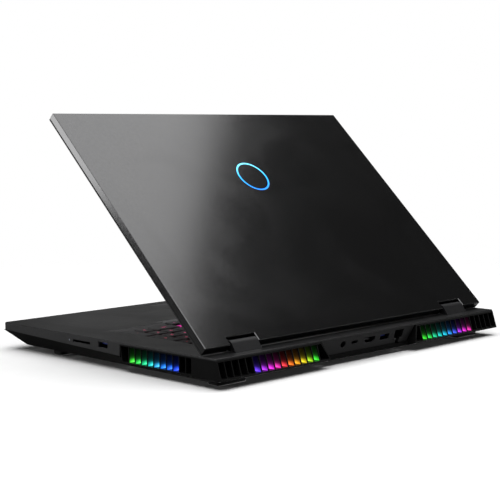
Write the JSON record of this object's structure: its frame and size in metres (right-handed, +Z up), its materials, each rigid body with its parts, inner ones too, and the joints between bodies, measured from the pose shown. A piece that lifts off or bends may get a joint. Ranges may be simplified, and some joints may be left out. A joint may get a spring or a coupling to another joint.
{
  "type": "laptop computer",
  "caption": "Large desktop-class laptop computer with a half-open hinged lid, sunken full-size keyboard, lit corner air vents and a recessed rear port panel.",
  "frame": {"origin": "centre of the footprint on the desk", "axes": "+X to the user's right, +Y to the back, +Z up"},
  "size_m": [0.4, 0.309, 0.2302],
  "materials": {
    "deck_metal": "satin",
    "lid_metal": "satin",
    "case_plastic": "matt",
    "panel_plastic": "matt",
    "vent_plastic": "satin",
    "bezel_plastic": "matt",
    "hinge_plastic": "matt",
    "light_guide": "clear",
    "ring_light": "clear",
    "port_metal": "satin",
    "port_plastic": "matt",
    "steel": "satin",
    "black_steel": "matt",
    "keycap": "matt",
    "backlight": "clear",
    "touch_glass": "satin",
    "screen": "gloss",
    "camera_black": "gloss",
    "rubber": "matt",
    "circuit_board": "satin",
    "chip": "satin",
    "copper": "satin",
    "fin_aluminium": "satin",
    "fan_plastic": "satin",
    "battery_wrap": "matt",
    "lamp": "clear"
  },
  "bodies": {
    "base": {"top_cover": "deck_metal", "bottom_cover": "case_plastic", "port_panel": "panel_plastic", "network_insert": "panel_plastic", "vent_grille_right": "vent_plastic", "vent_grille_left": "vent_plastic", "vent_light_right": "light_guide", "vent_light_left": "light_guide", "dc_jack": "port_plastic", "usb_c_port": "port_metal", "hdmi_port": "port_metal", "usb_a_port_rear": "port_metal", "ethernet_port": "port_plastic", "usb_a_port_right": "port_metal", "usb_a_port_left": "port_metal", "card_reader": "port_metal", "audio_jacks": "port_plastic", "status_lamp": "lamp", "side_boards": "circuit_board", "mainboard": "circuit_board", "processors": "chip", "cold_plates": "copper", "memory_modules": "circuit_board", "storage_drives": "circuit_board", "radio_card": "circuit_board", "battery_pack": "battery_wrap", "speakers": "fan_plastic", "keyboard_plate": "black_steel", "keyboard_backlight": "backlight", "rear_heatsinks": "fin_aluminium", "side_heatsinks": "fin_aluminium", "heat_pipes": "copper", "fan_housing_right": "fan_plastic", "fan_housing_left": "fan_plastic", "rubber_feet": "rubber", "case_screws": "steel", "hinge_covers": "hinge_plastic", "hinge_brackets": "steel", "touchpad_bracket": "steel"},
    "lid": {"lid_cover": "lid_metal", "lid_ring": "ring_light", "lid_bezel": "bezel_plastic", "display_panel": "screen", "webcam_module": "camera_black", "lid_bumpers": "rubber", "hinge_arms": "steel"},
    "right_rotor": {"fan_rotor_right": "fan_plastic"},
    "left_rotor": {"fan_rotor_left": "fan_plastic"},
    "keys_function_row_body": {"keys_function_row": "keycap"},
    "keys_number_row_body": {"keys_number_row": "keycap"},
    "keys_upper_row_body": {"keys_upper_row": "keycap"},
    "keys_home_row_body": {"keys_home_row": "keycap"},
    "keys_lower_row_body": {"keys_lower_row": "keycap"},
    "keys_bottom_row_body": {"keys_bottom_row": "keycap"},
    "space_bar_body": {"space_bar": "keycap"},
    "keys_arrows_body": {"keys_arrows": "keycap"},
    "keys_number_pad_body": {"keys_number_pad": "keycap"},
    "touch": {"touchpad": "touch_glass", "touchpad_board": "circuit_board"},
    "button": {"power_button": "deck_metal"}
  },
  "joints": [
    {"name": "lid_hinge", "type": "hinge", "parent": "base", "child": "lid", "pos_m": [0, 0.1296, 0.0305], "axis": [-1, 0, 0], "range_deg": [-44.2, 85.8]},
    {"name": "right_fan_spin", "type": "hinge", "parent": "base", "child": "right_rotor", "pos_m": [0.103, 0.0747, 0.0126], "axis": [0, 0, 1], "continuous": true},
    {"name": "left_fan_spin", "type": "hinge", "parent": "base", "child": "left_rotor", "pos_m": [-0.103, 0.0747, 0.0126], "axis": [0, 0, 1], "continuous": true},
    {"name": "function_row_press", "type": "slide", "parent": "base", "child": "keys_function_row_body", "axis": [0, 0, -1], "range_m": [0, 0.0014], "stiffness_N_per_m": 900, "springref_m": -0.0008},
    {"name": "number_row_press", "type": "slide", "parent": "base", "child": "keys_number_row_body", "axis": [0, 0, -1], "range_m": [0, 0.0014], "stiffness_N_per_m": 700, "springref_m": -0.0008},
    {"name": "upper_row_press", "type": "slide", "parent": "base", "child": "keys_upper_row_body", "axis": [0, 0, -1], "range_m": [0, 0.0014], "stiffness_N_per_m": 700, "springref_m": -0.0008},
    {"name": "home_row_press", "type": "slide", "parent": "base", "child": "keys_home_row_body", "axis": [0, 0, -1], "range_m": [0, 0.0014], "stiffness_N_per_m": 700, "springref_m": -0.0008},
    {"name": "lower_row_press", "type": "slide", "parent": "base", "child": "keys_lower_row_body", "axis": [0, 0, -1], "range_m": [0, 0.0014], "stiffness_N_per_m": 700, "springref_m": -0.0008},
    {"name": "bottom_row_press", "type": "slide", "parent": "base", "child": "keys_bottom_row_body", "axis": [0, 0, -1], "range_m": [0, 0.0014], "stiffness_N_per_m": 400, "springref_m": -0.0008},
    {"name": "space_bar_press", "type": "slide", "parent": "base", "child": "space_bar_body", "axis": [0, 0, -1], "range_m": [0, 0.0014], "stiffness_N_per_m": 120, "springref_m": -0.0008},
    {"name": "arrows_press", "type": "slide", "parent": "base", "child": "keys_arrows_body", "axis": [0, 0, -1], "range_m": [0, 0.0014], "stiffness_N_per_m": 200, "springref_m": -0.0008},
    {"name": "number_pad_press", "type": "slide", "parent": "base", "child": "keys_number_pad_body", "axis": [0, 0, -1], "range_m": [0, 0.0014], "stiffness_N_per_m": 800, "springref_m": -0.0008},
    {"name": "touchpad_click", "type": "hinge", "parent": "base", "child": "touch", "pos_m": [-0.048, -0.0543, 0.0224], "axis": [1, 0, 0], "range_deg": [0, 0.3], "stiffness_Nm_per_rad": 40, "springref_deg": -0.34},
    {"name": "power_button_press", "type": "slide", "parent": "base", "child": "button", "axis": [0, 0, -1], "range_m": [0, 0.0006], "stiffness_N_per_m": 900, "springref_m": -0.0008}
  ]
}
